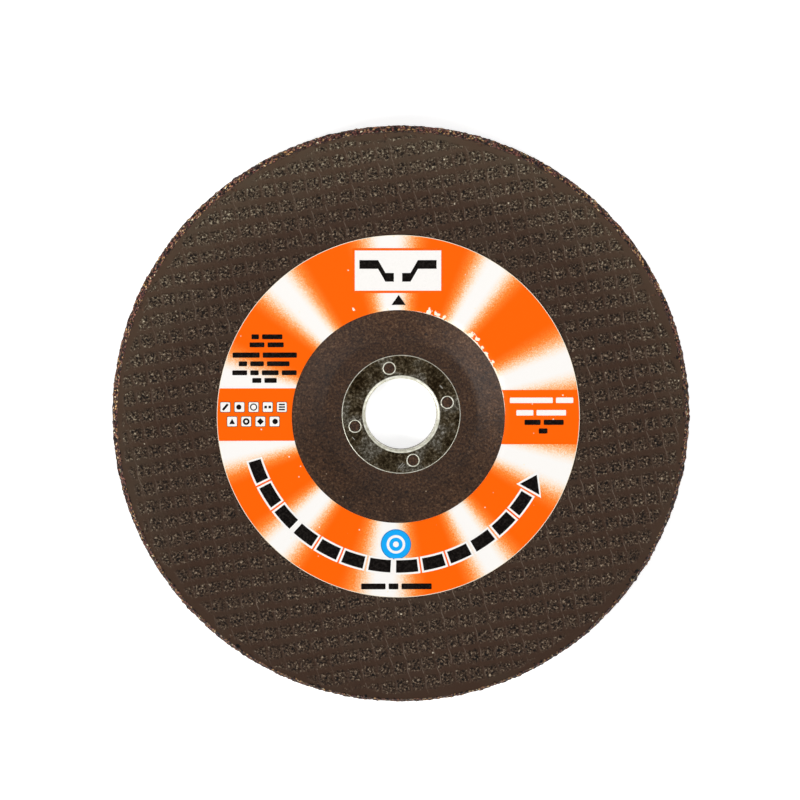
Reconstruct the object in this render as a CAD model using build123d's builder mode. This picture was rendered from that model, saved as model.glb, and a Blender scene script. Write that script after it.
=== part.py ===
import os
from math import atan2, ceil, cos, radians, sin, tan

from build123d import *

# Depressed centre grinding wheel, in millimetres.
# It lies on the back of its raised hub, with the dished face up.
# The wheel's axis is Z, and the back of the hub lies on Z = 0.

# Pressed wheel body
wheel_diameter = 180.0
wheel_thickness = 6.0
depression_depth = 4.6
hub_floor_diameter = 48.0
shoulder_diameter = 66.8
floor_fillet = 4.5
shoulder_chamfer = 0.7
rim_bevel_width = 1.6
rim_bevel_height = 2.4
rim_back_chamfer = 0.6

# Steel ring in the bore
bore_diameter = 22.23
ring_wall = 0.6
flange_diameter = 37.0
flange_stand_proud = 0.15
mouth_flare_width = 1.1
mouth_flare_depth = 0.6
ring_back_recess = 0.2
ring_clearance = 0.05
anchor_hole_count = 4
anchor_hole_diameter = 3.6
anchor_hole_circle = 29.8
anchor_hole_turn = 14.5
anchor_plug_recess = 0.15

# Front glass mesh: broad weft bands crossed by thin warp threads, with a pad in each window
mesh_thickness = 0.35
mesh_inner_diameter = 74.0
weave_depth = 0.15
weft_pitch = 5.69
weft_width = 2.2
weft_turn = 9.3
warp_pitch = 4.65
warp_width = 1.0
warp_turn = 11.6
weave_shift_x = 1.35
weave_shift_y = 1.81
weave_rim_margin = 2.0
weave_tuck = 0.8

# Paper label, glued a little off centre, its inner edge pressed down over the shoulder
label_outer_diameter = 113.2
label_inner_diameter = 66.5
label_thickness = 0.15
label_shift_x = -0.95
label_shift_y = -0.45

# Sizes worked out from the ones above
wheel_radius = wheel_diameter / 2
hub_floor_radius = hub_floor_diameter / 2
shoulder_radius = shoulder_diameter / 2
face_radius = wheel_radius - rim_bevel_width
mesh_inner_radius = mesh_inner_diameter / 2
window_width = warp_pitch - warp_width
window_length = weft_pitch - weft_width
bore_radius = bore_diameter / 2
ring_outer_radius = bore_radius + ring_wall
body_bore_radius = ring_outer_radius + ring_clearance
flange_radius = flange_diameter / 2
label_outer_radius = label_outer_diameter / 2
label_inner_radius = label_inner_diameter / 2
label_shift = Vector(label_shift_x, label_shift_y)

hub_floor_z = wheel_thickness
face_z = hub_floor_z + depression_depth
rim_back_z = face_z - wheel_thickness
mesh_seat_z = face_z - mesh_thickness
flange_top_z = hub_floor_z + flange_stand_proud
flange_seat_z = flange_top_z - ring_wall

# The wall keeps its thickness through the cone, so the back's corners stand further out
cone_angle = atan2(depression_depth, shoulder_radius - hub_floor_radius)
back_step_out = wheel_thickness * tan(cone_angle / 2)


def corner(section, radius, height):
    """The corner of a section that lies nearest to a radius and height."""
    return section.vertices().sort_by_distance((radius, height, 0))[0]


def anchor_places():
    """Where the flange's small holes stand round the bore."""
    return PolarLocations(anchor_hole_circle / 2, anchor_hole_count, start_angle=anchor_hole_turn)


# Pressed wheel body: flat grinding face, cone and hub, with seats for the ring and the mesh
with BuildPart() as abrasive_body:
    with BuildSketch(Plane.XZ) as body_section:
        with BuildLine():
            Polyline(
                (body_bore_radius, 0),
                (hub_floor_radius + back_step_out, 0),
                (shoulder_radius + back_step_out, rim_back_z),
                (wheel_radius, rim_back_z),
                (wheel_radius, face_z - rim_bevel_height),
                (face_radius, mesh_seat_z),
                (mesh_inner_radius, mesh_seat_z),
                (mesh_inner_radius, face_z),
                (shoulder_radius, face_z),
                (hub_floor_radius, hub_floor_z),
                (flange_radius, hub_floor_z),
                (flange_radius, flange_seat_z),
                (body_bore_radius, flange_seat_z),
                close=True,
            )
        make_face()
        fillet(corner(body_section, hub_floor_radius, hub_floor_z), floor_fillet)
        fillet(corner(body_section, hub_floor_radius + back_step_out, 0), floor_fillet + wheel_thickness)
        chamfer(corner(body_section, shoulder_radius, face_z), shoulder_chamfer)
        chamfer(corner(body_section, wheel_radius, rim_back_z), rim_back_chamfer)
    revolve(axis=Axis.Z)

    # The compound pressed up into the flange's holes
    with BuildSketch(Plane.XY.offset(flange_seat_z)):
        with anchor_places():
            Circle(anchor_hole_diameter / 2 - ring_clearance)
    extrude(amount=ring_wall - anchor_plug_recess)


# Steel ring: a thin tube through the bore with a flange turned out over the hub floor
with BuildPart() as centre_ring:
    with BuildSketch(Plane.XZ) as ring_section:
        with BuildLine():
            Polyline(
                (bore_radius, ring_back_recess),
                (ring_outer_radius, ring_back_recess),
                (ring_outer_radius, flange_seat_z),
                (flange_radius, flange_seat_z),
                (flange_radius, flange_top_z),
                (bore_radius + mouth_flare_width, flange_top_z),
                (bore_radius, flange_top_z - mouth_flare_depth),
                close=True,
            )
        make_face()
    revolve(axis=Axis.Z)

    with BuildSketch(Plane.XY.offset(flange_top_z)):
        with anchor_places():
            Circle(anchor_hole_diameter / 2)
    extrude(amount=-ring_wall, mode=Mode.SUBTRACT)


def window_places(inner_radius, inner_centre):
    """Centres of the mesh's windows that reach outside a circle and lie inside the face."""
    along_weft = Vector(cos(radians(weft_turn)), sin(radians(weft_turn)))
    along_warp = Vector(-sin(radians(warp_turn)), cos(radians(warp_turn)))
    skew = cos(radians(warp_turn - weft_turn))
    column_step = along_weft * (warp_pitch / skew)
    row_step = along_warp * (weft_pitch / skew)
    reach = ceil(wheel_radius / min(weft_pitch, warp_pitch)) + 1
    half_window = max(window_length, window_width) / 2
    places = []
    for row in range(-reach, reach + 1):
        for column in range(-reach, reach + 1):
            place = Vector(weave_shift_x, weave_shift_y) + row_step * row + column_step * column
            inside_face = place.length < face_radius - weave_rim_margin - half_window
            if inside_face and (place - inner_centre).length > inner_radius:
                places.append(place)
    return places


# Front mesh: a resin skin that carries the threads, with the compound standing up in each window
with BuildPart() as front_mesh:
    with BuildSketch(Plane.XY.offset(mesh_seat_z)):
        Circle(face_radius)
        Circle(mesh_inner_radius, mode=Mode.SUBTRACT)
    extrude(amount=mesh_thickness - weave_depth)

    full_height_radius = label_outer_radius - weave_tuck
    with BuildSketch(Plane.XY.offset(face_z - weave_depth)):
        with Locations(label_shift):
            Circle(full_height_radius)
        with Locations(*window_places(full_height_radius, label_shift)):
            Rectangle(window_width, window_length, rotation=(weft_turn + warp_turn) / 2)
        Circle(mesh_inner_radius, mode=Mode.SUBTRACT)
    extrude(amount=weave_depth)


# Paper label: follows the front's own line, then is cut to a ring round its own centre
with BuildPart() as label:
    with BuildSketch(Plane.XZ) as label_section:
        with BuildLine():
            Polyline(
                (hub_floor_radius, hub_floor_z),
                (shoulder_radius, face_z),
                (face_radius, face_z),
                (face_radius, face_z + label_thickness),
                (shoulder_radius, face_z + label_thickness),
                (hub_floor_radius, hub_floor_z + label_thickness),
                close=True,
            )
        make_face()
        chamfer(corner(label_section, shoulder_radius, face_z), shoulder_chamfer)
        chamfer(corner(label_section, shoulder_radius, face_z + label_thickness), shoulder_chamfer)
    revolve(axis=Axis.Z)

    with BuildSketch(Plane.XY):
        with Locations(label_shift):
            Circle(label_outer_radius)
            Circle(label_inner_radius, mode=Mode.SUBTRACT)
    extrude(amount=face_z + wheel_thickness, mode=Mode.INTERSECT)


os.makedirs("parts", exist_ok=True)
pieces = {
    "abrasive_body": abrasive_body,
    "centre_ring": centre_ring,
    "front_mesh": front_mesh,
    "label": label,
}
for name, piece in pieces.items():
    piece.part.label = name
    export_step(piece.part, f"parts/{name}.step")
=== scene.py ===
import math

import bmesh
import bpy
from mathutils import Matrix, Vector, noise


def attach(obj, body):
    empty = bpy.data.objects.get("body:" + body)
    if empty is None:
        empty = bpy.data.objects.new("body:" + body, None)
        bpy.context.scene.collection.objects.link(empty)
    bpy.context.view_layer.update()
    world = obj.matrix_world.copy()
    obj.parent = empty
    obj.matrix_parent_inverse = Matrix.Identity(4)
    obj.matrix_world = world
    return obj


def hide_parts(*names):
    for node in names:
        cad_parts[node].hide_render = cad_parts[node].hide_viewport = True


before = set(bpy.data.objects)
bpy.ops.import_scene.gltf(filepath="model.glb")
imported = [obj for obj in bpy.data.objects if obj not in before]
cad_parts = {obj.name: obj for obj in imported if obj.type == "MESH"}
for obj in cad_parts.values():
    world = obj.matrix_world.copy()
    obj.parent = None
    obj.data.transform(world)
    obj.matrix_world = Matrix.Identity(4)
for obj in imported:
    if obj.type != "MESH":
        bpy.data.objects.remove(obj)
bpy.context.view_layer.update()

mm = 0.001  # sizes below are in millimetres, meshes are in metres
fullTurn = 2 * math.pi
sharpAngle = math.radians(50)  # edges that bend more than this stay crisp
scene = bpy.context.scene


# Colours, nodes and materials

mixing = {"data_type": "RGBA"}
tinting = {"data_type": "RGBA", "blend_type": "MULTIPLY"}


def linearColour(hexText):
    channels = [int(hexText[place:place + 2], 16) / 255 for place in (0, 2, 4)]
    return [c / 12.92 if c <= 0.04045 else ((c + 0.055) / 1.055) ** 2.4 for c in channels] + [1.0]


def addNode(tree, kind, inputs=(), **settings):
    # Inputs are listed in the order of the sockets, or keyed. Each is a value, a hex colour,
    # a socket, or a node that hands over its first output
    node = tree.nodes.new("ShaderNode" + kind)
    for key, value in settings.items():
        setattr(node, key, value)
    for key, value in inputs.items() if isinstance(inputs, dict) else enumerate(inputs):
        if isinstance(value, bpy.types.Node):
            value = value.outputs[0]
        if isinstance(value, bpy.types.NodeSocket):
            tree.links.new(value, node.inputs[key])
        else:
            node.inputs[key].default_value = linearColour(value) if isinstance(value, str) else value
    return node


def setRamp(node, stops):
    ramp = node.color_ramp
    while len(ramp.elements) > 1:
        ramp.elements.remove(ramp.elements[-1])
    for index, (place, hexText) in enumerate(stops):
        stop = ramp.elements[0] if index == 0 else ramp.elements.new(place)
        stop.position = place
        stop.color = linearColour(hexText)
    return node


def newMaterial(name):
    material = bpy.data.materials.new(name)
    material.use_nodes = True
    material.node_tree.nodes.clear()
    return material, material.node_tree


def finishMaterial(tree, inputs, sheen=None):
    if sheen:
        inputs = {"Roughness": sheen["roughness"], "Specular IOR Level": sheen["gloss"], **inputs}
    addNode(tree, "OutputMaterial", [addNode(tree, "BsdfPrincipled", inputs)])


def millimetres(tree, centre=(0.0, 0.0, 0.0)):
    return addNode(tree, "Mapping", {
        "Vector": addNode(tree, "TexCoord").outputs["Object"],
        "Location": [-c for c in centre],
        "Scale": (1 / mm, 1 / mm, 1 / mm),
    })


def axisDistance(tree, place):
    flat = addNode(tree, "VectorMath", [place, (1, 1, 0)], operation="MULTIPLY")
    return addNode(tree, "VectorMath", [flat], operation="LENGTH").outputs["Value"]


def scatterSpecks(tree, place, spacing, edge, shown):
    # Round specks in a share of a pattern's cells; their soft edge is in shares of the spacing
    cells = addNode(tree, "TexVoronoi", {"Vector": place, "Scale": 1 / spacing})
    near = addNode(tree, "MapRange", [cells, *edge, 1.0, 0.0])
    chance = addNode(tree, "SeparateColor", [cells.outputs["Color"]])
    chosen = addNode(tree, "Math", [chance, 1 - shown], operation="GREATER_THAN")
    return addNode(tree, "Math", [near, chosen], operation="MULTIPLY")


# Mesh helpers

def smoothStep(low, high, value):
    share = min(max((value - low) / (high - low), 0.0), 1.0)
    return share * share * (3 - 2 * share)


def drawSection(bm, corners):
    points = [bm.verts.new((radius * mm, 0, height * mm)) for radius, height in corners]
    for first, second in zip(points, points[1:] + points[:1]):
        bm.edges.new((first, second))
    return points


def roundCorner(bm, corner, radius, segments):
    arms = [(edge.other_vert(corner).co - corner.co).normalized() for edge in corner.link_edges]
    turn = math.pi - arms[0].angle(arms[1])
    bmesh.ops.bevel(
        bm, geom=[corner], offset=radius * mm * math.tan(turn / 2), affect="VERTICES",
        segments=segments, profile=0.5, material=-1,
    )


def divideSection(bm, stepAt):
    for edge in list(bm.edges):
        middle = (edge.verts[0].co + edge.verts[1].co) / 2 / mm
        cuts = math.ceil(edge.calc_length() / mm / stepAt(middle.x, middle.z)) - 1
        if cuts > 0:
            bmesh.ops.subdivide_edges(bm, edges=[edge], cuts=cuts)


def spinSection(bm, steps, sectors=8):
    # One sector is spun and then copied round, because a single long spin is slow
    sector = fullTurn / sectors
    bmesh.ops.spin(
        bm, geom=bm.verts[:] + bm.edges[:], cent=(0, 0, 0), axis=(0, 0, 1),
        angle=sector, steps=steps // sectors, use_merge=False, use_duplicate=False,
    )
    bmesh.ops.spin(
        bm, geom=bm.verts[:] + bm.edges[:] + bm.faces[:], cent=(0, 0, 0), axis=(0, 0, 1),
        angle=fullTurn - sector, steps=sectors - 1, use_merge=False, use_duplicate=True,
    )
    bmesh.ops.remove_doubles(bm, verts=bm.verts, dist=1e-6)


def addObject(name, bm):
    mesh = bpy.data.meshes.new(name)
    bm.to_mesh(mesh)
    bm.free()
    made = bpy.data.objects.new(name, mesh)
    scene.collection.objects.link(made)
    return made


def finishPiece(bm, name, materials, replacedNodes=()):
    bmesh.ops.recalc_face_normals(bm, faces=bm.faces)
    for face in bm.faces:
        face.smooth = True
    piece = addObject(name, bm)
    for material in materials:
        piece.data.materials.append(material)
    piece.data.set_sharp_from_angle(angle=sharpAngle)
    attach(piece, "root")
    if replacedNodes:
        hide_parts(*replacedNodes)
    print(name, len(piece.data.polygons), "faces")


# The wheel's own lines: the dish, the flat face, and the weave pressed into it

wheel = {
    "hubFloorRadius": 24.0,
    "shoulderRadius": 33.4,
    "hubFloorHeight": 6.0,
    "faceHeight": 10.6,
    "shoulderRound": 0.7,
}
weave = {
    "weftPitch": 5.69,  # broad bands that run across the face
    "weftBand": 2.2,
    "weftTurn": 9.25,
    "warpPitch": 4.65,  # thin threads that cross them
    "warpBand": 1.0,
    "warpTurn": 11.8,
    "windowPlace": (1.35, 1.81),
    "wander": 0.45,  # how far the threads stray from straight
    "wanderLength": 26.0,
    "otherWander": (7.3, 2.1, 5.0),  # another part of the noise, for the other direction
    "edgeSoftness": 0.5,
}


def weaveCoordinates(x, y):
    place = Vector((x / weave["wanderLength"], y / weave["wanderLength"], 0.0))
    x += weave["wander"] * noise.noise(place)
    y += weave["wander"] * noise.noise(place + Vector(weave["otherWander"]))
    warpTurn = math.radians(weave["warpTurn"])
    weftTurn = math.radians(weave["weftTurn"])
    x -= weave["windowPlace"][0]
    y -= weave["windowPlace"][1]
    across = (x * math.cos(warpTurn) + y * math.sin(warpTurn)) / weave["warpPitch"]
    along = (y * math.cos(weftTurn) - x * math.sin(weftTurn)) / weave["weftPitch"]
    return across + 0.5, along + 0.5  # a window's centre falls on a half


def windowShare(across, along):
    share = 1.0
    for position, pitch, band in ((across, "warpPitch", "warpBand"), (along, "weftPitch", "weftBand")):
        away = abs(position % 1 - 0.5) * weave[pitch]
        half = (weave[pitch] - weave[band]) / 2
        share *= 1 - smoothStep(half - weave["edgeSoftness"], half, away)
    return share


def frontHeight(radius):
    rise = wheel["faceHeight"] - wheel["hubFloorHeight"]
    slope = rise / (wheel["shoulderRadius"] - wheel["hubFloorRadius"])
    inward = wheel["shoulderRadius"] - radius
    span = wheel["shoulderRound"]
    if inward <= -span:
        return wheel["faceHeight"]
    if inward >= span:
        return wheel["faceHeight"] - slope * inward
    return wheel["faceHeight"] - slope * (inward + span) ** 2 / (4 * span)


# Pressed compound: fused alumina grains in dark phenolic resin, pressed in a mould, so the
# surface is matt and finely leathery, with a few grain faces that catch the light
compound = {
    "colours": (
        (0.34, "120904"), (0.44, "2E1A0D"), (0.50, "392414"), (0.57, "432C1B"), (0.70, "634C38"),
    ),
    "grain": 0.75,  # millimetres between grains
    "grainDepth": 0.2,
    "blotch": 6.0,
    "blotchShade": (0.78, 1.25),
    "specks": (2.6, (0.05, 0.11), 0.07),  # spacing, soft edge, and the share that shows
    "speckColour": "B09A80",
    "paintedLightRing": (24.5, 28.5),  # painted light: the cone and the compound outside it are painted paler than the hub floor, for the sheen the cone catches
    "paintedLightGain": 1.28,
    "roughness": 0.45,
    "gloss": 0.27,
}


def makeCompound():
    material, tree = newMaterial("pressedAluminaResin")
    place = millimetres(tree)
    grains = addNode(tree, "TexNoise", {
        "Vector": place, "Scale": 1 / compound["grain"], "Detail": 4.0, "Roughness": 0.7,
    })
    blotches = addNode(tree, "TexNoise", {"Vector": place, "Scale": 1 / compound["blotch"], "Detail": 2.0})
    shade = addNode(tree, "MapRange", [blotches, 0.3, 0.7, *compound["blotchShade"]])
    radius = axisDistance(tree, place)
    # Painted light: the cone and all compound outside it are made paler than the hub floor
    paintedConeLight = addNode(tree, "MapRange", [radius, *compound["paintedLightRing"], 1.0, compound["paintedLightGain"]])
    colour = setRamp(addNode(tree, "ValToRGB", [grains]), compound["colours"])
    for tint in (shade, paintedConeLight):
        colour = addNode(tree, "Mix", {0: 1.0, 6: colour, 7: tint}, **tinting).outputs[2]
    specks = scatterSpecks(tree, place, *compound["specks"])
    colour = addNode(tree, "Mix", {0: specks, 6: colour, 7: compound["speckColour"]}, **mixing)
    bump = addNode(tree, "Bump", {"Height": grains, "Strength": 1.0, "Distance": compound["grainDepth"] * mm})
    finishMaterial(tree, {"Base Color": colour.outputs[2], "Normal": bump}, compound)
    return material


# Broken edge: the rim is left rough, so whole grains stand out of the resin in brown,
# plum and tan, with black pits between them
edgeDrift = Vector((0.08, -0.5, 0.0))  # the mesh lies a little low, so more grain shows on top
brokenEdge = {
    "grain": 0.7,
    "jitter": 0.625,  # a noise of this size breaks up the grains' straight sides
    "colours": (
        (0.0, "0B0706"), (0.14, "40201F"), (0.32, "74423C"), (0.48, "946052"), (0.60, "A8785E"),
        (0.68, "1E1210"), (0.78, "B08456"), (0.89, "E0B078"), (0.94, "FFF2CC"), (0.97, "7C4A46"),
    ),
    "pit": (0.34, 0.66),  # from a grain's face to the pit beside it, in shares of a grain
    "pitShade": 0.05,
    "pitDepth": 0.3,
    "torn": (88.6, 89.05),  # beside the mesh's torn edge the grain is painted dark, a painted shadow in the gap under the edge
    "tornSway": 0.9,
    "paintedGapShadow": 0.12,
    "faceFrom": 8.5,  # height above which the rim shows from the front
    "paintedTopLight": (0.7, 1.4),  # painted light: the broken grain is painted palest at the top and darkest at the bottom
    "roughness": 0.6,
    "gloss": 0.2,
}
paintedSheen = {"centre": (2.0, -12.0, 0.0), "radii": (77.0, 100.0)}  # painted sheen and light: paler on the outer part, most at the top


# Painted light: a share that grows towards the rim round a centre set low, so it is largest at the top
def paintedSheenShare(tree, low, high):
    radius = axisDistance(tree, millimetres(tree, paintedSheen["centre"]))
    return addNode(tree, "MapRange", [radius, *paintedSheen["radii"], low, high])


def makeBrokenEdge():
    material, tree = newMaterial("brokenGrainEdge")
    place = millimetres(tree)
    jitter = addNode(tree, "TexNoise", {"Vector": place, "Scale": 1 / brokenEdge["jitter"], "Detail": 2.0})
    shifted = addNode(tree, "VectorMath", [place, jitter.outputs["Color"]], operation="ADD")
    grains = addNode(tree, "TexVoronoi", {"Vector": shifted, "Scale": 1 / brokenEdge["grain"]})
    chance = addNode(tree, "SeparateColor", [grains.outputs["Color"]])
    colour = setRamp(addNode(tree, "ValToRGB", [chance.outputs["Green"]]), brokenEdge["colours"])
    pits = addNode(tree, "MapRange", [grains, *brokenEdge["pit"], 1.0, brokenEdge["pitShade"]])
    # Painted shadow: a dark band along the mesh's torn edge, seen from the front only
    radius = axisDistance(tree, millimetres(tree, edgeDrift))
    wavy = addNode(tree, "Math", [jitter, brokenEdge["tornSway"], radius], operation="MULTIPLY_ADD")
    torn = addNode(tree, "MapRange", [wavy, *brokenEdge["torn"], brokenEdge["paintedGapShadow"], 1.0])
    height = addNode(tree, "SeparateXYZ", [place]).outputs["Z"]
    onFace = addNode(tree, "Math", [height, brokenEdge["faceFrom"]], operation="GREATER_THAN")
    below = addNode(tree, "Math", [1.0, onFace], operation="SUBTRACT")
    shade = addNode(tree, "Math", [torn, onFace, below], operation="MULTIPLY_ADD")
    for tint in (pits, shade, paintedSheenShare(tree, *brokenEdge["paintedTopLight"])):
        colour = addNode(tree, "Mix", {0: 1.0, 6: colour, 7: tint}, **tinting).outputs[2]
    bump = addNode(tree, "Bump", {"Height": pits, "Strength": 1.0, "Distance": brokenEdge["pitDepth"] * mm})
    finishMaterial(tree, {"Base Color": colour, "Normal": bump}, brokenEdge)
    return material


# Glass mesh soaked in brown phenolic resin: threads lie smooth and flat, and grain pushes
# up through each window between them, with dark pits and a few bright grain faces
resinMesh = {
    "threadColours": ((0.35, "3B291E"), (0.50, "3D2B20"), (0.65, "3D2E23")),
    "cloud": 16.667,
    "grainColours": (
        (0.375, "040201"), (0.43, "160D08"), (0.48, "37281D"), (0.56, "48382C"), (0.61, "6C5B4A"),
        (0.70, "B2A089"),
    ),
    "grain": 0.7,
    "grainDepth": 0.4,
    "ragged": 0.23,  # how far a window's edge strays, as a share of the pitch
    "raggedSize": 1.1111,
    "edgeSoftness": 0.13,
    "windowGrowth": 0.025,  # grain shows a little way under the threads' edges
    "paintedSheenTint": (1.58, 1.86, 1.9, 1.0),  # painted sheen: paler and greyer towards the rim, most at the top
    "threadLine": -0.435,  # its place, width and sway are shares of the pitch
    "threadLineWidth": 0.048,
    "threadLineSway": 0.045,
    "threadLineDepth": 0.12,
    # painted highlight on each thread's lit side
    "threadHighlightColour": "6E5E50",
    "breakLength": 2.9412,
    "breaks": (0.46, 0.62, 0.05),  # from broken to whole, and how much a broken thread shows
    "highlightPatchLength": 20.0,
    "highlightSlope": (0.0016, 0.0008, 0.0),  # for each millimetre to the right and up
    "highlightShown": (0.38, 0.6, 0.25),
    "specks": (3.3333, (0.04, 0.10), 0.07),
    "speckColour": "E0D2B8",
    "roughness": 0.6,
    "gloss": 0.14,
}


def awayFrom(tree, position, middle):
    # How far a place in the weave lies from the middle of its repeat
    repeat = addNode(tree, "Math", [position], operation="FRACT")
    offset = addNode(tree, "Math", [repeat, middle], operation="SUBTRACT")
    return addNode(tree, "Math", [offset], operation="ABSOLUTE")


def makeResinMesh():
    material, tree = newMaterial("resinSoakedGlassMesh")
    place = millimetres(tree)
    threads = addNode(tree, "Attribute", attribute_name="weave").outputs["Vector"]
    straight = addNode(tree, "SeparateXYZ", [threads])

    # Grain shows in the windows, whose edges are ragged
    stray = addNode(tree, "TexNoise", {"Vector": place, "Scale": 1 / resinMesh["raggedSize"], "Detail": 2.0})
    stray = addNode(tree, "VectorMath", [stray.outputs["Color"], (0.5, 0.5, 0.5)], operation="SUBTRACT")
    stray = addNode(tree, "VectorMath", {0: stray, "Scale": resinMesh["ragged"] * 2}, operation="SCALE")
    strayed = addNode(tree, "VectorMath", [threads, stray], operation="ADD")
    lattice = addNode(tree, "SeparateXYZ", [strayed])
    window = straight.outputs["Z"]
    for axis, pitch, band in (("X", "warpPitch", "warpBand"), ("Y", "weftPitch", "weftBand")):
        away = awayFrom(tree, lattice.outputs[axis], 0.5)
        half = (weave[pitch] - weave[band]) / 2 / weave[pitch] + resinMesh["windowGrowth"]
        soft = resinMesh["edgeSoftness"]
        share = addNode(tree, "MapRange", [away, half - soft, half + soft, 1.0, 0.0], interpolation_type="SMOOTHSTEP")
        window = addNode(tree, "Math", [window, share], operation="MULTIPLY")
    grains = addNode(tree, "TexNoise", {
        "Vector": place, "Scale": 1 / resinMesh["grain"], "Detail": 3.0, "Roughness": 0.7,
        "Distortion": 0.5,
    })
    clouds = addNode(tree, "TexNoise", {
        "Vector": place, "Scale": 1 / resinMesh["cloud"], "Detail": 6.0, "Roughness": 0.6,
    })
    threadColour = setRamp(addNode(tree, "ValToRGB", [clouds]), resinMesh["threadColours"])
    grainColour = setRamp(addNode(tree, "ValToRGB", [grains]), resinMesh["grainColours"])
    colour = addNode(tree, "Mix", {0: window, 6: threadColour, 7: grainColour}, **mixing).outputs[2]

    # Beside each window runs one proud thread, with a painted highlight along its lit side: it sways
    # round the broad bands and comes and goes along its length, and shows most at the right
    upWindow = addNode(tree, "Math", [straight.outputs["Y"], fullTurn], operation="MULTIPLY")
    sway = addNode(tree, "Math", [upWindow], operation="SINE")
    swayed = addNode(tree, "Math", [sway, resinMesh["threadLineSway"], straight], operation="MULTIPLY_ADD")
    away = awayFrom(tree, swayed, 0.5 + resinMesh["threadLine"])
    width = resinMesh["threadLineWidth"]
    thread = addNode(tree, "MapRange", [away, 0.0, width, 1.0, 0.0], interpolation_type="SMOOTHSTEP")
    broken = addNode(tree, "TexNoise", {
        "Vector": place, "Scale": 1 / resinMesh["breakLength"], "Detail": 2.0, "Roughness": 0.6,
    })
    unbroken = addNode(tree, "MapRange", [broken, *resinMesh["breaks"]], interpolation_type="SMOOTHSTEP")
    highlightPatch = addNode(tree, "TexNoise", {"Vector": place, "Scale": 1 / resinMesh["highlightPatchLength"], "Detail": 1.0})
    rightward = addNode(tree, "VectorMath", [place, resinMesh["highlightSlope"]], operation="DOT_PRODUCT")
    highlightPatch = addNode(tree, "Math", [highlightPatch, rightward.outputs["Value"]], operation="ADD")
    shown = addNode(tree, "MapRange", [highlightPatch, *resinMesh["highlightShown"]], interpolation_type="SMOOTHSTEP")
    for share in (shown, unbroken, straight.outputs["Z"]):
        thread = addNode(tree, "Math", [thread, share], operation="MULTIPLY")

    # Painted sheen on the outer face, most at the top
    paintedSheenHere = paintedSheenShare(tree, 0.0, 1.0)
    specks = scatterSpecks(tree, place, *resinMesh["specks"])
    for share, over, blend in (
        (paintedSheenHere, "paintedSheenTint", tinting), (thread, "threadHighlightColour", mixing), (specks, "speckColour", mixing),
    ):
        colour = addNode(tree, "Mix", {0: share, 6: colour, 7: resinMesh[over]}, **blend).outputs[2]
    roughGrain = addNode(tree, "Math", [window, grains], operation="MULTIPLY")
    bump = None
    for height, depth in ((roughGrain, "grainDepth"), (thread, "threadLineDepth")):
        under = {"Normal": bump} if bump else {}
        bump = addNode(tree, "Bump", {
            "Height": height, "Strength": 1.0, "Distance": resinMesh[depth] * mm, **under,
        })
    finishMaterial(tree, {"Base Color": colour, "Normal": bump}, resinMesh)
    return material


compoundMaterial = makeCompound()
brokenEdgeMaterial = makeBrokenEdge()
resinMeshMaterial = makeResinMesh()
print("compound, broken edge and mesh materials made")


# Wheel body

body = {
    "section": (
        (11.765, 0.15), (25.6, 0.15), (34.6, 4.75), (88.9, 4.75), (89.4, 4.65), (90.0, 5.2), (90.0, 8.2),
        (88.6, 10.4), (87.6, 10.2), (37.0, 10.2), (37.0, 10.6), (33.4, 10.6), (24.0, 6.0), (18.52, 6.0),
        (18.52, 5.55), (11.765, 5.55),
    ),
    "rounds": ((1, 10.3, 8), (12, 4.5, 6), (11, 3.0, 4)),  # corner, radius, segments
    "spinSteps": 448,
    "dish": (18.4, 37.1),  # radii between which the dished front is divided finely
    "dishFrom": 5.8,  # height above which it lies
    "dishStep": 0.42,
    "plainStep": 6.0,
    "bevelFrom": 87.5,
    "bevelStep": 1.5,
    "rimFrom": 88.3,
    "grainFrom": 87.4,
    "grainSize": 1.05,
    "grainHeight": 0.6,
    "grainMiddle": 0.45,
    "lumpSize": 2.3,
    "lumpHeight": 0.4,
    "driftRadii": (88.7, 89.9),  # the bevel's top follows the mesh, the rim below doesn't
    "driftHeights": (8.0, 9.5),
    "leather": (18.6, 32.0),  # radii between which the dish is leathery
    "leatherSize": 0.9,
    "leatherHeight": 0.05,
    "plugRadius": 1.75,
    "plugCircle": 14.9,
    "plugTurn": 14.5,
    "plugHeight": 0.6,
    "plugMiddle": 5.7,
    "plugTop": (0.5, 0.06),  # how far in and up its top is drawn
}


def bodyStep(radius, height):
    if radius > body["bevelFrom"]:
        return body["bevelStep"]
    if body["dish"][0] < radius < body["dish"][1] and height > body["dishFrom"]:
        return body["dishStep"]
    return body["plainStep"]


def plugCentre(index, height):
    turn = math.radians(body["plugTurn"] + 90 * index)
    return Vector((math.cos(turn) * body["plugCircle"], math.sin(turn) * body["plugCircle"], height)) * mm


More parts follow.
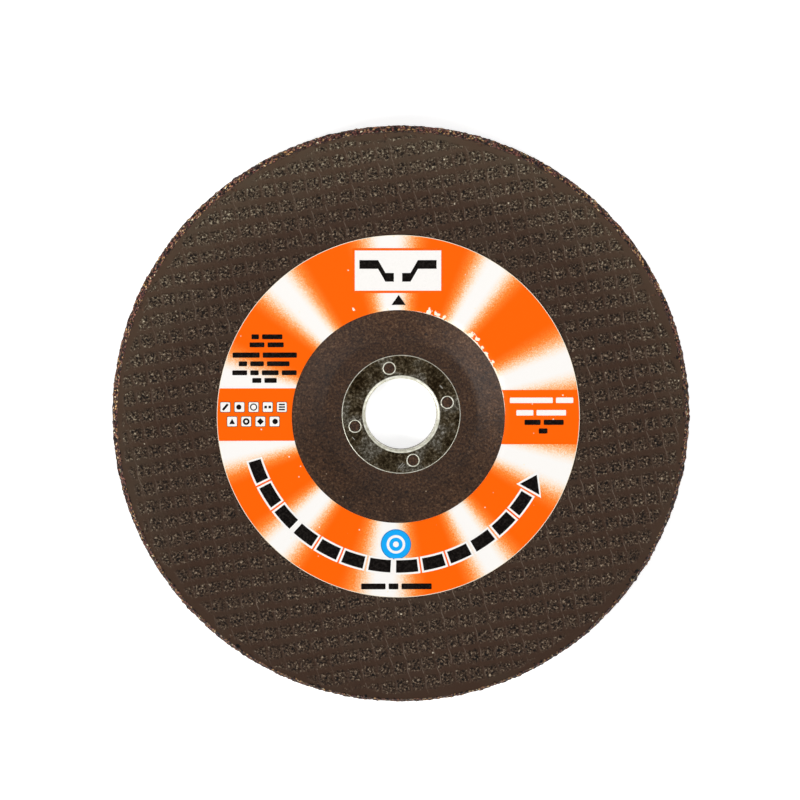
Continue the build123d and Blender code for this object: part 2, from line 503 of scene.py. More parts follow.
def makeBody():
    bm = bmesh.new()
    corners = drawSection(bm, body["section"])
    for corner, radius, segments in body["rounds"]:
        roundCorner(bm, corners[corner], radius, segments)
    divideSection(bm, bodyStep)
    spinSection(bm, body["spinSteps"])
    rimEdges = {
        edge for face in bm.faces
        if face.calc_center_median().xy.length > body["rimFrom"] * mm for edge in face.edges
    }
    bmesh.ops.subdivide_edges(bm, edges=list(rimEdges), cuts=3, use_grid_fill=True)
    bm.normal_update()
    for vertex in bm.verts:
        place = vertex.co / mm
        radius = place.xy.length
        if radius > body["grainFrom"]:
            distances, _ = noise.voronoi(place / body["grainSize"])
            lump = body["grainMiddle"] - distances[0]
            lump += body["lumpHeight"] * noise.noise(place / body["lumpSize"])
            follow = 1 - smoothStep(*body["driftRadii"], radius)
            drift = edgeDrift * follow * smoothStep(*body["driftHeights"], place.z)
            vertex.co += (vertex.normal * lump * body["grainHeight"] + drift) * mm
        elif body["leather"][0] < radius < body["leather"][1] and place.z > body["dishFrom"]:
            vertex.co.z += body["leatherHeight"] * mm * noise.noise(place / body["leatherSize"])
    # Compound stands in the ring's four holes
    for index in range(4):
        plug = bmesh.ops.create_cone(
            bm, cap_ends=True, segments=28, radius1=body["plugRadius"] * mm, radius2=body["plugRadius"] * mm,
            depth=body["plugHeight"] * mm, matrix=Matrix.Translation(plugCentre(index, body["plugMiddle"])),
        )
        faces = {face for vertex in plug["verts"] for face in vertex.link_faces}
        tops = [face for face in faces if face.normal.z > 0.9]
        inward, upward = body["plugTop"]
        bmesh.ops.inset_region(bm, faces=tops, thickness=inward * mm, depth=upward * mm)
    for face in bm.faces:
        face.material_index = 1 if face.calc_center_median().xy.length > body["rimFrom"] * mm else 0
    materials = [compoundMaterial, brokenEdgeMaterial]
    finishPiece(bm, "wheelBody", materials, ["abrasive_body"])


# Glass mesh on the face, and the same mesh on the back

faceMesh = {
    "section": (
        (37.0, 10.1), (88.2, 10.1), (88.5, 10.3), (88.45, 10.5), (88.1, 10.6), (55.0, 10.6), (37.0, 10.6),
    ),
    "grooveDepth": 0.15,
    "top": 10.55,  # the side that shows lies above this
    "fineFrom": 55.0,
    "step": 0.4,
    "plainStep": 60.0,
    "spinSteps": 1000,
    "grainSize": 0.8,
    "grainHeight": 0.08,
    "smoothBorder": (86.0, 87.4),  # the windows fade out before the rim
    "borderSway": 2.0,
    "borderLength": 9.0,
    "drift": (85.0, 88.0),
    "raggedEdge": 0.5,
    "raggedSize": 1.3,
    "raggedRadii": (87.6, 88.1),
}
backMesh = {
    "section": (
        (12.2, 0.0), (25.389, 0.0), (34.789, 4.6), (88.4, 4.6), (88.8, 4.7), (88.6, 4.85), (34.6, 4.85),
        (25.2, 0.25), (12.2, 0.25),
    ),
    "grooveDepth": 0.12,
    "fillet": 10.5,
    "step": 0.62,
    "plainStep": 12.0,
    "spinSteps": 624,
    "woven": (12.4, 88.2),
    "hub": (26.2, 0.13),  # its radius, and the height that parts its two sides
    "rim": (34.0, 4.72),
    "coneMiddle": 0.12,
}


def mapWeave(bm):
    layer = bm.verts.layers.float_vector.new("weave")
    for vertex in bm.verts:
        vertex[layer] = (*weaveCoordinates(vertex.co.x / mm, vertex.co.y / mm), 0.0)
    return layer


def faceStep(radius, height):
    fine = height > faceMesh["top"] and radius > faceMesh["fineFrom"]
    return faceMesh["step"] if fine else faceMesh["plainStep"]


def makeFaceMesh():
    bm = bmesh.new()
    drawSection(bm, faceMesh["section"])
    divideSection(bm, faceStep)
    spinSection(bm, faceMesh["spinSteps"])
    weaveLayer = mapWeave(bm)
    for vertex in bm.verts:
        place = vertex.co / mm
        radius = place.xy.length
        if place.z > faceMesh["top"] and radius > faceMesh["fineFrom"] + 0.1:
            sway = faceMesh["borderSway"] * noise.noise(place / faceMesh["borderLength"])
            fade = 1 - smoothStep(*faceMesh["smoothBorder"], radius + sway)
            share = windowShare(*vertex[weaveLayer].xy) * fade
            grain = faceMesh["grainHeight"] * noise.noise(place / faceMesh["grainSize"]) * share
            vertex.co.z -= (faceMesh["grooveDepth"] * (1 - share) - grain) * mm
            vertex[weaveLayer].z = fade
        if radius > faceMesh["drift"][0]:
            drift = smoothStep(*faceMesh["drift"], radius)
            ragged = faceMesh["raggedEdge"] * noise.noise(place / faceMesh["raggedSize"])
            ragged *= smoothStep(*faceMesh["raggedRadii"], radius)
            vertex.co += (edgeDrift * drift + place.xy.to_3d() * (ragged / radius)) * mm
    finishPiece(bm, "faceMesh", [resinMeshMaterial], ["front_mesh"])


def isBackSkin(radius, height):
    # The side of the back mesh that shows; the other side lies in the body
    if radius < backMesh["hub"][0]:
        return height < backMesh["hub"][1]
    if radius > backMesh["rim"][0]:
        return height < backMesh["rim"][1]
    foot, shoulder = backMesh["section"][1:3]
    slope = shoulder[1] / (shoulder[0] - foot[0])
    return height < (radius - foot[0]) * slope + backMesh["coneMiddle"]


def backStep(radius, height):
    return backMesh["step"] if isBackSkin(radius, height) else backMesh["plainStep"]


def makeBackMesh():
    bm = bmesh.new()
    corners = drawSection(bm, backMesh["section"])
    roundCorner(bm, corners[1], backMesh["fillet"], 8)
    divideSection(bm, backStep)
    spinSection(bm, backMesh["spinSteps"])
    weaveLayer = mapWeave(bm)
    for vertex in bm.verts:
        place = vertex.co / mm
        radius = place.xy.length
        if isBackSkin(radius, place.z) and backMesh["woven"][0] < radius < backMesh["woven"][1]:
            share = windowShare(*vertex[weaveLayer].xy)
            vertex.co.z += backMesh["grooveDepth"] * (1 - share) * mm
            vertex[weaveLayer].z = 1.0
    finishPiece(bm, "backMesh", [resinMeshMaterial])


makeBody()
makeFaceMesh()
makeBackMesh()


# Steel ring: thin sheet, zinc plated and pressed to shape, dull and blotchy from the mould,
# and rubbed bright where it bends, where a pale painted highlight is added too
ringSteel = {
    "colours": (
        (0.34, "332D24"), (0.45, "5A5346"), (0.53, "7E7768"), (0.61, "BAB4A6"), (0.70, "FFFCF4"),
    ),
    "blotch": 0.9,
    "blotchDepth": 0.05,
    "patch": 7.0,
    "patchColours": ((0.38, "85755E"), (0.50, "CABDA6"), (0.60, "FFFFFF")),
    "roughness": (0.5, 0.3),  # in dark and in pale blotches
    "edgeHighlightColours": ((0.3, "C8C6B2"), (0.5, "E4E2D0"), (0.7, "F8F6EA")),
    "edgeBlotch": 1.1111,
    "edgeRoughness": 0.45,
    "edgeMetal": 0.45,  # grime dulls the rubbed metal; the pale colour is also a painted highlight
    "scratches": (  # start, end, width
        ((-0.9, -16.9), (0.6, -15.2), 0.09), ((-0.2, -16.9), (1.1, -15.6), 0.07),
        ((12.2, 8.9), (12.9, 8.2), 0.22), ((-15.3, -7.2), (-14.6, -7.9), 0.12),
    ),
    "scratchShare": 0.85,
    "scratchColour": "F4F2E8",
}
ring = {
    "boreRadius": 11.115,
    "wall": 0.6,
    "flangeRadius": 18.6,
    "flangeTop": 6.15,
    "bottom": 0.2,
    "rounds": ((5, 1.05, 8), (4, 0.22, 4), (2, 0.4, 4), (0, 0.15, 2)),  # corner, radius, segments
    "step": 1.2,
    "spinSteps": 240,
    "holeRadius": 1.68,
    "cutterHeight": 3.0,
    "lipRadius": 1.9,
    "lipThickness": 0.16,
    "lipFlatness": 0.6,
    "rubbedHighlitMouth": (12.4, 4.9),  # inside this radius and above this height
    "rubbedHighlitRim": 18.3,
    "rubbedHighlitLip": (2.15, 6.155),  # this near to a hole's middle and above this height
}


def makeSteel():
    material, tree = newMaterial("zincPlatedSteel")
    place = millimetres(tree)
    blotches = addNode(tree, "TexNoise", {
        "Vector": place, "Scale": 1 / ringSteel["blotch"], "Detail": 6.0, "Roughness": 0.7,
    })
    patches = addNode(tree, "TexNoise", {"Vector": place, "Scale": 1 / ringSteel["patch"], "Detail": 3.0})
    colour = setRamp(addNode(tree, "ValToRGB", [blotches]), ringSteel["colours"])
    patch = setRamp(addNode(tree, "ValToRGB", [patches]), ringSteel["patchColours"])
    colour = addNode(tree, "Mix", {0: 1.0, 6: colour, 7: patch}, **tinting).outputs[2]
    flat = addNode(tree, "VectorMath", [place, (1, 1, 0)], operation="MULTIPLY")
    for start, end, width in ringSteel["scratches"]:
        run = Vector((*end, 0)) - Vector((*start, 0))
        fromStart = addNode(tree, "VectorMath", [flat, (*start, 0)], operation="SUBTRACT")
        along = addNode(tree, "VectorMath", [fromStart, run / run.length_squared], operation="DOT_PRODUCT")
        along = addNode(tree, "Clamp", [along.outputs["Value"]])
        nearest = addNode(tree, "VectorMath", {0: run, "Scale": along}, operation="SCALE")
        away = addNode(tree, "VectorMath", [fromStart, nearest], operation="DISTANCE").outputs["Value"]
        share = addNode(tree, "MapRange", [away, width / 2, width, ringSteel["scratchShare"], 0.0])
        scratched = {0: share, 6: colour, 7: ringSteel["scratchColour"]}
        colour = addNode(tree, "Mix", scratched, **mixing).outputs[2]
    roughness = addNode(tree, "MapRange", [blotches, 0.3, 0.7, *ringSteel["roughness"]])
    bump = addNode(tree, "Bump", {
        "Height": blotches, "Strength": 0.5, "Distance": ringSteel["blotchDepth"] * mm,
    })
    finishMaterial(tree, {"Base Color": colour, "Normal": bump, "Metallic": 1.0, "Roughness": roughness})
    return material


# Rubbed metal on the bends, pale partly as a painted highlight
def makeRubbedHighlitSteel():
    material, tree = newMaterial("rubbedSteelEdgePaintedHighlight")
    highlightShown = addNode(tree, "TexNoise", {
        "Vector": millimetres(tree), "Scale": 1 / ringSteel["edgeBlotch"], "Detail": 3.0,
    })
    finishMaterial(tree, {
        "Base Color": setRamp(addNode(tree, "ValToRGB", [highlightShown]), ringSteel["edgeHighlightColours"]),
        "Metallic": ringSteel["edgeMetal"], "Roughness": ringSteel["edgeRoughness"],
    })
    return material


def addLip(bm, centre):
    lip = bmesh.new()
    bmesh.ops.create_circle(
        lip, segments=10, radius=ring["lipThickness"] * mm,
        matrix=Matrix.Translation((ring["lipRadius"] * mm, 0, 0)) @ Matrix.Rotation(math.pi / 2, 4, "X"),
    )
    spinSection(lip, 40)
    bmesh.ops.scale(lip, vec=(1, 1, ring["lipFlatness"]), verts=lip.verts)
    bmesh.ops.translate(lip, vec=centre, verts=lip.verts)
    mesh = bpy.data.meshes.new("lip")
    lip.to_mesh(mesh)
    lip.free()
    bm.from_mesh(mesh)
    bpy.data.meshes.remove(mesh)


def isRubbedHighlit(place, holes):
    radius = place.xy.length
    fromHole = min((place - hole / mm).xy.length for hole in holes)
    onMouth = radius < ring["rubbedHighlitMouth"][0] and place.z > ring["rubbedHighlitMouth"][1]
    onLip = fromHole < ring["rubbedHighlitLip"][0] and place.z > ring["rubbedHighlitLip"][1]
    return onMouth or onLip or radius > ring["rubbedHighlitRim"]


def makeRing():
    bm = bmesh.new()
    outer = ring["boreRadius"] + ring["wall"]
    seat = ring["flangeTop"] - ring["wall"]
    corners = drawSection(bm, (
        (ring["boreRadius"], ring["bottom"]), (outer, ring["bottom"]), (outer, seat),
        (ring["flangeRadius"], seat), (ring["flangeRadius"], ring["flangeTop"]),
        (ring["boreRadius"], ring["flangeTop"]),
    ))
    for corner, radius, segments in ring["rounds"]:
        roundCorner(bm, corners[corner], radius, segments)
    divideSection(bm, lambda radius, height: ring["step"])
    spinSection(bm, ring["spinSteps"])
    bmesh.ops.recalc_face_normals(bm, faces=bm.faces)
    blank = addObject("ringBlank", bm)

    # Four holes are cut, and each gets its pressed-up lip
    holes = [plugCentre(index, ring["flangeTop"]) for index in range(4)]
    bm = bmesh.new()
    for hole in holes:
        bmesh.ops.create_cone(
            bm, cap_ends=True, segments=40, radius1=ring["holeRadius"] * mm, radius2=ring["holeRadius"] * mm,
            depth=ring["cutterHeight"] * mm, matrix=Matrix.Translation(hole),
        )
    cutter = addObject("holeCutter", bm)
    cut = blank.modifiers.new("holes", "BOOLEAN")
    cut.object = cutter
    cut.solver = "EXACT"
    pierced = blank.evaluated_get(bpy.context.evaluated_depsgraph_get())
    bm = bmesh.new()
    bm.from_mesh(bpy.data.meshes.new_from_object(pierced))
    for unused in (blank, cutter):
        bpy.data.objects.remove(unused)
    for hole in holes:
        addLip(bm, hole)
    for face in bm.faces:
        face.material_index = 1 if isRubbedHighlit(face.calc_center_median() / mm, holes) else 0
    finishPiece(bm, "boreRing", [makeSteel(), makeRubbedHighlitSteel()], ["centre_ring"])


makeRing()


# Paper label: coated paper, printed in orange with soft white rays, glued on a little off
# centre, its inner edge pressed down over the shoulder and scuffed there
label = {
    "centre": (-0.95, -0.45),
    "innerRadius": 33.25,
    "outerRadius": 56.6,
    "thickness": 0.15,
    "lift": 0.02,
    "step": 1.2,
    "shoulderTo": 37.0,  # inside this the sheet bends, so it is divided finer
    "shortEdge": 0.5,  # only the sheet's own thickness is shorter
    "spinSteps": 360,
    "rays": (  # compass and spread
        (356.6, 1.2), (33.0, 1.0), (72.2, 1.2), (108.6, 1.2), (147.5, 1.0), (185.0, 1.3), (223.0, 1.0),
        (258.7, 1.0), (282.5, 1.1), (318.0, 1.0),
    ),
    "rayWhite": 1.7,  # degrees to each side that are white, and where the white has faded
    "rayFade": 12.0,
    "rayColours": (
        (0.0, "FF6400"), (0.35, "FF8A34"), (0.65, "FBC08A"), (0.85, "FBE6D0"), (1.0, "F9F6F2"),
    ),
    "dots": 0.33333,  # the print's dots show where orange fades to white
    "dotShare": 3.6,
    "leftBlock": (-7.5, 8.9),  # bottom and top of the plain orange block on each side
    "rightBlock": (-8.7, 8.3),
    "grain": 0.38462,
    "grainDepth": 0.02,
    "specks": (3.0303, (0.05, 0.10), 0.28),
    "chips": (  # place and size
        (9.6, 32.6, 1.9), (12.0, 31.9, 1.9), (14.4, 31.0, 1.2), (22.6, 25.4, 1.9), (24.4, 24.3, 1.3),
        (25.9, 21.6, 1.3), (27.6, 19.4, 1.2), (29.3, 17.0, 0.9), (32.4, 9.4, 0.8),
        (-23.9, -52.6, 1.8), (-1.5, 56.5, 1.0), (-3.4, 33.3, 0.9), (-14.0, 33.4, 0.9), (-33.0, -2.0, 0.7),
    ),
    "chipHeight": 10.7,
    "chipReach": (0.75, -0.35),
    "tear": 0.90909,
    "tearStrength": 2.2,
    "tearLimit": 1.35,
    "scuffCompass": 47.0,
    "scuffWidth": 0.6,
    "scuffSpread": (0.3, 0.75),  # radians
    "scuffNoise": (0.36, 0.64),
    "coreWidth": 0.16,
    "coreColour": "FBEFD8",
    "roughness": 0.5,
    "gloss": 0.07,
}


def rayShare(tree, compass):
    rays = 0.0
    for ray, spread in label["rays"]:
        apart = addNode(tree, "Math", [compass, math.radians(ray)], operation="SUBTRACT")
        wrapped = addNode(tree, "Math", [apart, math.pi, -math.pi], operation="WRAP")
        away = addNode(tree, "Math", [wrapped], operation="ABSOLUTE")
        white, faded = (math.radians(label[edge] * spread) for edge in ("rayWhite", "rayFade"))
        share = addNode(tree, "MapRange", [away, white, faded, 1.0, 0.0], interpolation_type="SMOOTHSTEP")
        rays = addNode(tree, "Math", [rays, share], operation="MAXIMUM")
    return rays


def blockShare(tree, axes):
    rightSide = addNode(tree, "Math", [axes, 0.0], operation="GREATER_THAN")
    block = 1.0
    for left, right, test in zip(label["leftBlock"], label["rightBlock"], ("GREATER_THAN", "LESS_THAN")):
        level = addNode(tree, "MapRange", [rightSide, 0.0, 1.0, left, right])
        inside = addNode(tree, "Math", [axes.outputs["Y"], level], operation=test)
        block = addNode(tree, "Math", [block, inside], operation="MULTIPLY")
    return block


def makePaper():
    # Coated paper under offset ink: a thin even gloss over strong flat colour
    material, tree = newMaterial("printedCoatedPaper")
    place = millimetres(tree, (*label["centre"], 0.0))
    axes = addNode(tree, "SeparateXYZ", [place])
    compass = addNode(tree, "Math", [axes, axes.outputs["Y"]], operation="ARCTAN2")
    rays = rayShare(tree, compass)
    dots = addNode(tree, "TexNoise", {
        "Vector": place, "Scale": 1 / label["dots"], "Detail": 1.0, "Roughness": 0.8,
    })
    centred = addNode(tree, "Math", [dots, 0.5], operation="SUBTRACT")
    orange = addNode(tree, "Math", [1.0, rays], operation="SUBTRACT")
    fading = addNode(tree, "Math", [orange, rays], operation="MULTIPLY")
    dotted = addNode(tree, "Math", [centred, fading], operation="MULTIPLY")
    dotted = addNode(tree, "Math", [dotted, label["dotShare"], rays], operation="MULTIPLY_ADD")
    printed = addNode(tree, "Math", [1.0, blockShare(tree, axes)], operation="SUBTRACT")
    white = addNode(tree, "Math", [dotted, printed], operation="MULTIPLY")
    colour = setRamp(addNode(tree, "ValToRGB", [white]), label["rayColours"])

    # Bare paper shows in specks, in chips torn from the edges, and along the cut outer edge
    bare = [scatterSpecks(tree, place, *label["specks"])]
    tear = addNode(tree, "TexNoise", {
        "Vector": place, "Scale": 1 / label["tear"], "Detail": 4.0, "Roughness": 0.65,
    })
    for x, y, size in label["chips"]:
        away = addNode(tree, "VectorMath", [place, (x, y, label["chipHeight"])], operation="DISTANCE")
        reach = addNode(tree, "MapRange", [away.outputs["Value"], 0.0, size, *label["chipReach"]])
        torn = addNode(tree, "Math", [tear, label["tearStrength"], reach], operation="MULTIPLY_ADD")
        bare.append(addNode(tree, "Math", [torn, label["tearLimit"]], operation="GREATER_THAN"))
    radius = axisDistance(tree, place)
    core = label["outerRadius"] - label["coreWidth"]
    bare.append(addNode(tree, "Math", [radius, core], operation="GREATER_THAN"))

    # The inner edge is rubbed ragged at the upper right, where it bends over the shoulder
    fromScuff = addNode(tree, "Math", [compass, math.radians(label["scuffCompass"])], operation="SUBTRACT")
    fromScuff = addNode(tree, "Math", [fromScuff], operation="ABSOLUTE")
    width = addNode(tree, "MapRange", [fromScuff, *label["scuffSpread"], label["scuffWidth"], 0.0])
    ragged = addNode(tree, "MapRange", [tear, *label["scuffNoise"]])
    scuffTo = addNode(tree, "Math", [ragged, width, label["innerRadius"]], operation="MULTIPLY_ADD")
    bare.append(addNode(tree, "Math", [radius, scuffTo], operation="LESS_THAN"))

    share = 0.0
    for patch in bare:
        share = addNode(tree, "Math", [share, patch], operation="MAXIMUM")
    colour = addNode(tree, "Mix", {0: share, 6: colour, 7: label["coreColour"]}, **mixing)
    grain = addNode(tree, "TexNoise", {"Vector": place, "Scale": 1 / label["grain"], "Detail": 2.0})
    bump = addNode(tree, "Bump", {"Height": grain, "Strength": 0.15, "Distance": label["grainDepth"] * mm})
    finishMaterial(tree, {"Base Color": colour.outputs[2], "Normal": bump}, label)
    return material


def makeLabel():
    bm = bmesh.new()
    inner, outer, thickness = label["innerRadius"], label["outerRadius"], label["thickness"]
    drawSection(bm, ((inner, 0.0), (outer, 0.0), (outer, thickness), (inner, thickness)))
    divideSection(bm, lambda radius, height: label["step"])
    shoulderEdges = [
        edge for edge in bm.edges
        if max(v.co.x for v in edge.verts) < label["shoulderTo"] * mm
        and edge.calc_length() > label["shortEdge"] * mm
    ]
    bmesh.ops.subdivide_edges(bm, edges=shoulderEdges, cuts=3)
    spinSection(bm, label["spinSteps"])
    bmesh.ops.translate(bm, vec=(label["centre"][0] * mm, label["centre"][1] * mm, 0), verts=bm.verts)
    for vertex in bm.verts:
        vertex.co.z += (frontHeight(vertex.co.xy.length / mm) + label["lift"]) * mm
    finishPiece(bm, "paperLabel", [makePaper()], ["label"])


makeLabel()


# Print on the label: each ink is one piece, a few hundredths of a millimetre thick

ink = {
    "level": wheel["faceHeight"] + label["lift"] + label["thickness"],
    "layer": 0.02,
    "black": "080403",
    "white": "F9F6F2",
    "blue": "0CA8F6",
    "deepBlue": "1C84C4",
    "orange": "FB6200",
    "rubColour": "9A8F86",  # ink is rubbed thin in small blotches
    "rubShare": 0.06,
    "rubSize": 0.55556,
    "roughness": 0.5,
    "gloss": 0.07,
}


def flatBar(bm, x, y, width, height, turn=0.0, corner=0.0):
    place = Matrix.Translation((x * mm, y * mm, 0)) @ Matrix.Rotation(math.radians(turn), 4, "Z")
    made = bmesh.ops.create_grid(
        bm, x_segments=1, y_segments=1, size=0.5,
        matrix=place @ Matrix.Diagonal((width * mm, height * mm, 1, 1)),
    )
    if corner:
        bmesh.ops.bevel(
            bm, geom=made["verts"], offset=corner * mm, affect="VERTICES", segments=3, profile=0.5,
            material=-1,
        )


def flatDisc(bm, x, y, radius, segments=64):
    place = Matrix.Translation((x * mm, y * mm, 0))
    bmesh.ops.create_circle(bm, cap_ends=True, segments=segments, radius=radius * mm, matrix=place)


def flatArc(bm, x, y, radius, width, fromCompass=0.0, toCompass=360.0):
    start = math.radians(90 - fromCompass)
    outward = Vector((math.cos(start), math.sin(start), 0))
    centre = Vector((x, y, 0)) * mm
    ends = [bm.verts.new(centre + outward * (radius + side * width / 2) * mm) for side in (-1, 1)]
    edge = bm.edges.new(ends)
    sweep = fromCompass - toCompass
    bmesh.ops.spin(
        bm, geom=[*ends, edge], cent=centre, axis=(0, 0, 1), angle=math.radians(sweep),
        steps=max(2, round(abs(sweep) / 1.5)), use_merge=abs(sweep) >= 360, use_duplicate=False,
    )


def flatShape(bm, x, y, points):
    bm.faces.new([bm.verts.new(((x + a) * mm, (y + b) * mm, 0)) for a, b in points])


def compassPoint(radius, compass):
    turn = math.radians(compass)
    return radius * math.sin(turn), radius * math.cos(turn)


def finishInk(bm, name, colourName, layerIndex):
    bmesh.ops.remove_doubles(bm, verts=bm.verts, dist=1e-7)
    raised = bmesh.ops.extrude_face_region(bm, geom=bm.faces[:])
    tops = [item for item in raised["geom"] if isinstance(item, bmesh.types.BMVert)]
    bmesh.ops.translate(bm, vec=(0, 0, ink["layer"] * mm), verts=tops)
    bottom = ink["level"] + (layerIndex - 0.5) * ink["layer"]
    bmesh.ops.translate(bm, vec=(0, 0, bottom * mm), verts=bm.verts)
    material, tree = newMaterial(f"printInk{colourName[0].upper()}{colourName[1:]}")
    place = millimetres(tree)
    rub = addNode(tree, "TexNoise", {"Vector": place, "Scale": 1 / ink["rubSize"], "Detail": 3.0})
    share = addNode(tree, "MapRange", [rub, 0.45, 0.8, 0.0, ink["rubShare"]])
    colour = addNode(tree, "Mix", {0: share, 6: ink[colourName], 7: ink["rubColour"]}, **mixing)
    finishMaterial(tree, {"Base Color": colour.outputs[2]}, ink)
    finishPiece(bm, name, [material])


plate = {"centre": (-1.1, 45.1), "size": (26.9, 12.5), "border": 0.75}
# The wheel's own side view as a sign: one half of a dished line, and half its thickness
sign = {"line": ((12.0, 1.9), (6.2, 1.9), (3.9, -2.1), (1.3, -2.1)), "half": 1.35}
pointer = ((-3.1, 34.4), (1.3, 34.4), (-0.9, 37.5))
arrow = {
    "radius": 46.9, "width": 3.9, "outline": 0.6, "from": 253.0, "to": 110.0, "block": 8.2, "gap": 2.1,
    "head": 6.2, "headWidth": 7.0,
}
button = {"centre": (-1.75, -40.4), "radius": 4.75, "edge": 0.3, "rim": (2.5, 0.8), "bore": 0.9}
squares = {
    "size": 3.0, "corner": 0.3, "outline": 0.16, "outlineCorner": 0.4,
    "rows": ((2.6, (-54.9, -50.5, -46.1, -41.7, -37.3)), (-1.9, (-52.8, -48.4, -44.0, -39.6))),
}
icons = (  # one plain sign for each square: what draws it, its place in the square, its sizes
    ((flatBar, 0, 0, 2.4, 0.7, 50),),
    ((flatDisc, -0.2, 0, 0.8, 24),),
    ((flatArc, 0, 0, 0.95, 0.35),),
    ((flatBar, -0.65, 0, 0.8, 0.8), (flatBar, 0.65, 0, 0.8, 0.8)),
    ((flatBar, 0, 0, 1.9, 0.45), (flatBar, 0, 0.8, 1.9, 0.45), (flatBar, 0, -0.8, 1.9, 0.45)),
    ((flatShape, 0, 0, ((-0.9, -0.8), (0.9, -0.8), (0, 0.9))),),
    ((flatArc, 0, 0, 0.75, 0.6),),
    ((flatBar, 0, 0, 1.5, 1.5, 45),),
    ((flatDisc, 0.2, 0, 0.85, 24),),
)
rules = {  # rows of short bars: height of the row, its middle, bar lengths, bar height
    "left": (
        (24.5, -41.9, (2.3, 6.3), 1.5), (22.0, -42.0, (4.6, 5.0), 1.5), (18.8, -42.6, (8.4, 10.6), 1.6),
        (16.1, -42.8, (2.6, 4.2, 7.0), 1.5), (13.3, -42.7, (4.6, 2.6, 5.2, 4.6), 1.5),
        (10.9, -42.7, (2.8, 3.8), 1.5),
    ),
    "rightWhite": ((4.6, 43.7, (13.4, 5.4), 1.7), (0.7, 43.6, (5.3, 9.2), 1.7)),
    "rightBlack": ((-2.3, 44.5, (5.0, 6.2), 1.6), (-5.0, 44.2, (2.7,), 1.6)),
    "bottom": ((-53.6, -1.6, (7.6, 3.0, 9.4), 1.8),),
    "gap": 1.0,
    "corner": 0.25,
}


def flatRules(bm, rows):
    for y, middle, lengths, height in rows:
        x = middle - (sum(lengths) + rules["gap"] * (len(lengths) - 1)) / 2
        for length in lengths:
            flatBar(bm, x + length / 2, y, length, height, corner=rules["corner"])
            x += length + rules["gap"]


def arrowBlocks(bm, grow):
    x, y = label["centre"]
    radius = arrow["radius"]
    widen = math.degrees(grow / radius)
    compass = arrow["from"]
    while compass - arrow["block"] > arrow["to"] + arrow["head"]:
        end = compass - arrow["block"] - widen
        flatArc(bm, x, y, radius, arrow["width"] + 2 * grow, compass + widen, end)
        compass -= arrow["block"] + arrow["gap"]
    half = arrow["headWidth"] / 2 + grow * 1.6
    flatShape(bm, x, y, [
        compassPoint(radius - half, compass + widen), compassPoint(radius + half, compass + widen),
        compassPoint(radius, compass - arrow["head"] - widen * 2.4),
    ])


def makePrint():
    x, y = plate["centre"]
    wide, tall = plate["size"]
    spots = [(across, row) for row, line in squares["rows"] for across in line]

    orange = bmesh.new()
    flatBar(orange, x, y, wide + 2 * plate["border"], tall + 2 * plate["border"])
    finishInk(orange, "printOrange", "orange", 0)

    under = bmesh.new()  # thin dark lines round the small squares
    side = squares["size"] + 2 * squares["outline"]
    for spot in spots:
        flatBar(under, *spot, side, side, corner=squares["outlineCorner"])
    finishInk(under, "printOutlines", "black", 0)

    white = bmesh.new()
    flatBar(white, x, y, wide, tall)
    arrowBlocks(white, arrow["outline"])
    for spot in spots:
        flatBar(white, *spot, squares["size"], squares["size"], corner=squares["corner"])
    flatRules(white, rules["rightWhite"])
    finishInk(white, "printWhite", "white", 1)

    black = bmesh.new()
    for mirror in (-1, 1):
        upper = [(mirror * a, b + sign["half"]) for a, b in sign["line"]]
        lower = [(mirror * a, b - sign["half"]) for a, b in reversed(sign["line"])]
        flatShape(black, x, y, upper + lower)
    flatShape(black, 0, 0, pointer)
    flatRules(black, rules["left"] + rules["rightBlack"] + rules["bottom"])
    arrowBlocks(black, 0.0)
    for (across, up), icon in zip(spots, icons):
        for draw, stepAcross, stepUp, *sizes in icon:
            draw(black, across + stepAcross, up + stepUp, *sizes)
    finishInk(black, "printBlack", "black", 2)

    x, y = button["centre"]
    deepBlue = bmesh.new()
    flatDisc(deepBlue, x, y, button["radius"])
    finishInk(deepBlue, "printDeepBlue", "deepBlue", 0)
    blue = bmesh.new()
    flatDisc(blue, x, y, button["radius"] - button["edge"])
    finishInk(blue, "printBlue", "blue", 1)
    ringSign = bmesh.new()  # the wheel's front view as a sign: rim and bore
    flatArc(ringSign, x, y, *button["rim"])
    flatDisc(ringSign, x, y, button["bore"], 32)
    finishInk(ringSign, "printRing", "white", 2)


makePrint()


# Floor, light and camera

studio = {
    "floorSize": 12.0,  # metres
    "floorLevel": -0.02,
    "floorColour": "F4F4F4",
    "floorGlow": 0.6,
    "skyHorizon": 0.45,
    "skyZenith": 0.15,
    "skyBand": (0.35, 0.95),  # the sky darkens between these shares of the way up
    "lens": 200.0,
    "tilt": 3.6,
    "tiltCompass": 338.0,
    "frameWidth": 249.42,
    "aim": (-0.47, 4.74, 10.6),
    "lamps": (  # compass, elevation, distance, size, power, in degrees, metres and watts
        ("keyLamp", 240.0, 32.0, 3.0, 1.3, 68.0),
        ("fillLamp", 125.0, 36.0, 1.8, 1.0, 12.5),
        ("topLamp", 2.0, 60.0, 0.42, 0.3, 0.37),
    ),
}


def skyward(compass, elevation):
    turn = math.radians(compass)
    rise = math.radians(elevation)
    return Vector((math.sin(turn) * math.cos(rise), math.cos(turn) * math.cos(rise), math.sin(rise)))


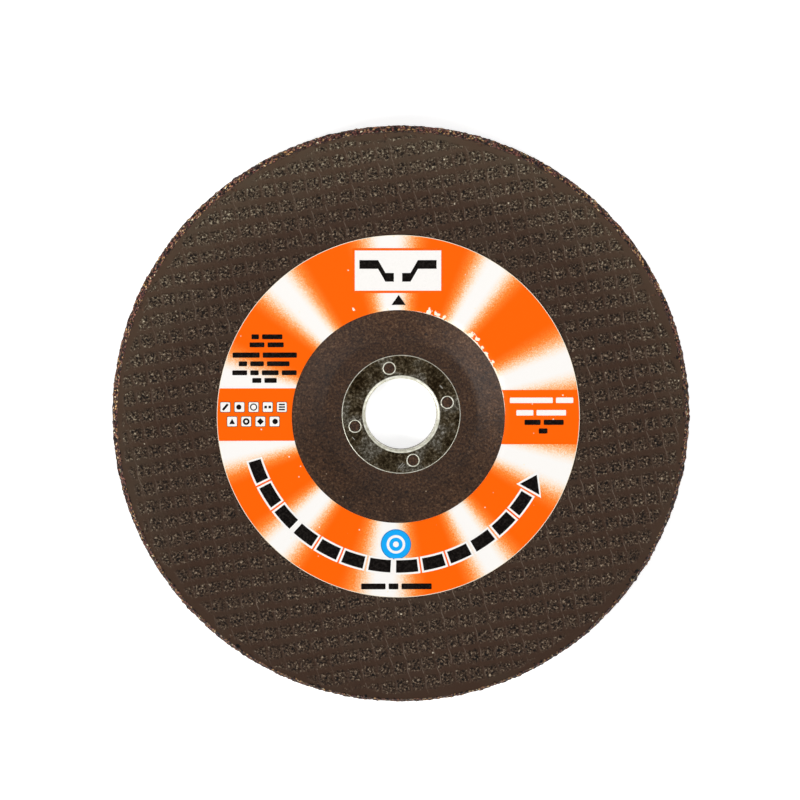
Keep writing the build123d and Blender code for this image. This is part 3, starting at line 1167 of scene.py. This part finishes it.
def makeFloor():
    # Matt painted board: it keeps the wheel's shadow, and looks white to the eye and in gloss
    material, tree = newMaterial("paintedFloor")
    light = addNode(tree, "LightPath")
    seen = light.outputs["Is Camera Ray"]
    for ray in ("Is Glossy Ray", "Is Transmission Ray"):
        seen = addNode(tree, "Math", [seen, light.outputs[ray]], operation="MAXIMUM")
    finishMaterial(tree, {
        "Base Color": studio["floorColour"], "Roughness": 0.9, "Emission Color": (1, 1, 1, 1),
        "Emission Strength": addNode(tree, "Math", [seen, studio["floorGlow"]], operation="MULTIPLY"),
    })
    bm = bmesh.new()
    bmesh.ops.create_grid(bm, x_segments=1, y_segments=1, size=studio["floorSize"] / 2)
    bmesh.ops.translate(bm, vec=(0, 0, studio["floorLevel"] * mm), verts=bm.verts)
    floor = addObject("floor", bm)
    floor.data.materials.append(material)


def makeSky():
    world = bpy.data.worlds.new("studioSky")
    scene.world = world
    world.use_nodes = True
    tree = world.node_tree
    tree.nodes.clear()
    direction = addNode(tree, "TexCoord").outputs["Generated"]
    height = addNode(tree, "SeparateXYZ", [direction]).outputs["Z"]
    darkening = [height, *studio["skyBand"], studio["skyHorizon"], studio["skyZenith"]]
    strength = addNode(tree, "MapRange", darkening, interpolation_type="SMOOTHSTEP")
    background = addNode(tree, "Background", {"Strength": strength, "Color": (1, 1, 1, 1)})
    addNode(tree, "OutputWorld", [background])


def makeLamps():
    for name, compass, elevation, distance, size, power in studio["lamps"]:
        lamp = bpy.data.lights.new(name, "AREA")
        lamp.shape = "DISK"
        lamp.size = size
        lamp.energy = power
        away = skyward(compass, elevation)
        holder = bpy.data.objects.new(name, lamp)
        holder.location = Vector(studio["aim"]) * mm + away * distance
        holder.rotation_mode = "QUATERNION"
        holder.rotation_quaternion = away.to_track_quat("Z", "Y")
        scene.collection.objects.link(holder)


def makeCamera():
    data = bpy.data.cameras.new("camera")
    data.lens = studio["lens"]
    data.clip_start = 0.05
    data.clip_end = 50
    camera = bpy.data.objects.new("camera", data)
    back = skyward(studio["tiltCompass"], 90 - studio["tilt"])
    right = Vector((0, 1, 0)).cross(back).normalized()
    distance = studio["frameWidth"] * mm * studio["lens"] / data.sensor_width
    turned = Matrix((right, back.cross(right), back)).transposed().to_4x4()
    camera.matrix_world = Matrix.Translation(Vector(studio["aim"]) * mm + back * distance) @ turned
    scene.collection.objects.link(camera)
    scene.camera = camera


makeFloor()
makeSky()
makeLamps()
makeCamera()
scene.view_settings.view_transform = "Standard"
print("floor, sky, lamps and camera set")
